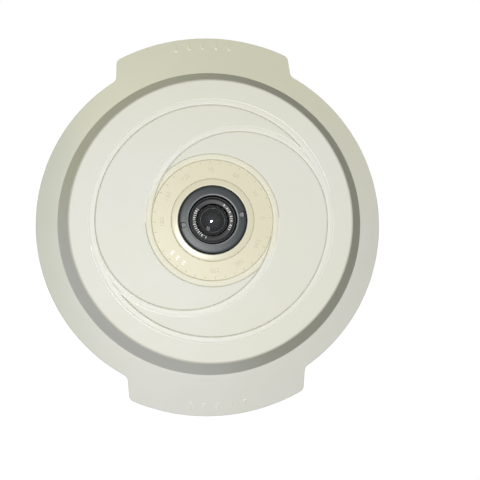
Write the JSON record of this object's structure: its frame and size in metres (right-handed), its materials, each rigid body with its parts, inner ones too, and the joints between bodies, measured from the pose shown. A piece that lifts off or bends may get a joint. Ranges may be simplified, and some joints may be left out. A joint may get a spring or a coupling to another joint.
{
  "type": "fisheye ip camera",
  "caption": "Low round ceiling camera with a central fisheye lens, a twist-off cover with ears at two sides, and a network socket in its back.",
  "frame": {"origin": "centre of the mounting plate's back face, on the optical axis", "axes": "+Z along the optical axis, out of the lens; the two ears lie along +Y and -Y; the memory card slides out along +X"},
  "size_m": [0.15, 0.169, 0.0398],
  "materials": {
    "cover_plastic": "satin moulded off-white, slightly yellowed, with a grey painted wall",
    "tan_plastic": "satin cream",
    "housing_plastic": "fine grained off-white",
    "lock_ring_black": "semi-gloss anodised black",
    "black_aluminium": "matte anodised black",
    "lens_glass": "coated, almost black, polished",
    "clear_glass": "polished",
    "filter_glass": "pink interference coating",
    "steel": "zinc plated",
    "dark_steel": "black zinc",
    "anodised_aluminium": "satin",
    "brass": "plain",
    "gold": "plated",
    "copper_wire": "enamelled copper",
    "capacitor_can": "plastic sleeve",
    "ferrite": "matt sintered",
    "circuit_board": "green solder resist",
    "black_plastic": "moulded",
    "ivory_plastic": "moulded"
  },
  "bodies": {
    "base": {"mounting_plate": "steel", "rear_housing": "housing_plastic", "housing_screws": "dark_steel", "lower_board": "circuit_board", "network_socket": "black_plastic", "network_shield": "steel", "network_contacts": "gold", "power_transformer": "ferrite", "power_inductor": "ferrite", "capacitors": "capacitor_can", "network_isolator": "black_plastic", "card_socket": "steel", "reset_switch": "steel", "board_link": "ivory_plastic", "board_spacers": "brass", "board_screws": "steel", "main_board": "circuit_board", "processor": "black_plastic", "heat_sink": "anodised_aluminium", "memory_chips": "black_plastic", "clock_crystal": "steel", "battery_holder": "black_plastic", "clock_battery": "steel", "service_header": "ivory_plastic", "header_pins": "gold", "chip_resistors": "black_plastic", "sensor_board": "circuit_board", "sensor_spacers": "steel", "image_sensor": "black_plastic", "sensor_glass": "clear_glass", "filter_case": "black_plastic", "filter_coil": "copper_wire", "coil_yoke": "steel", "lens_mount": "black_plastic", "lens_screws": "steel"},
    "filter": {"filter_carrier": "black_plastic", "infrared_filter": "filter_glass", "clear_filter": "clear_glass"},
    "lever": {"filter_lever": "ivory_plastic", "rotor_magnet": "ferrite"},
    "lens": {"lens_barrel": "black_aluminium", "rear_glass": "clear_glass", "aperture_stop": "black_aluminium", "middle_glass": "clear_glass", "lens_spacer": "black_aluminium", "front_glass": "lens_glass", "name_ring": "black_aluminium"},
    "ring": {"lock_ring": "lock_ring_black"},
    "cover": {"front_cover": "cover_plastic", "face_ring": "tan_plastic"},
    "button": {"reset_button": "black_plastic"},
    "card": {"memory_card": "black_plastic"}
  },
  "joints": [
    {"name": "cover_twist", "type": "hinge", "parent": "base", "child": "cover", "pos_m": [0, 0, 0.023], "axis": [0, 0, 1], "range_deg": [0, 15]},
    {"name": "lock_ring_turn", "type": "hinge", "parent": "base", "child": "ring", "pos_m": [0, 0, 0.036], "axis": [0, 0, 1], "range_deg": [0, 90]},
    {"name": "lens_focus", "type": "hinge", "parent": "base", "child": "lens", "pos_m": [0, 0, 0.034], "axis": [0, 0, 1], "range_deg": [-45, 45]},
    {"name": "filter_shift", "type": "slide", "parent": "base", "child": "filter", "axis": [1, 0, 0], "range_m": [-0.0095, 0]},
    {"name": "filter_lever_swing", "type": "hinge", "parent": "base", "child": "lever", "pos_m": [0, 0.01528, 0.028], "axis": [0, 0, 1], "range_deg": [-70.5, 0.5]},
    {"name": "reset_press", "type": "slide", "parent": "base", "child": "button", "axis": [-1, 0, 0], "range_m": [0, 0.0004], "stiffness_N_per_m": 200},
    {"name": "card_eject", "type": "slide", "parent": "base", "child": "card", "axis": [1, 0, 0], "range_m": [0, 0.009]}
  ],
  "couplings": [
    {"joint": "filter_lever_swing", "follows": "filter_shift", "rad_per_m": 128.6}
  ]
}
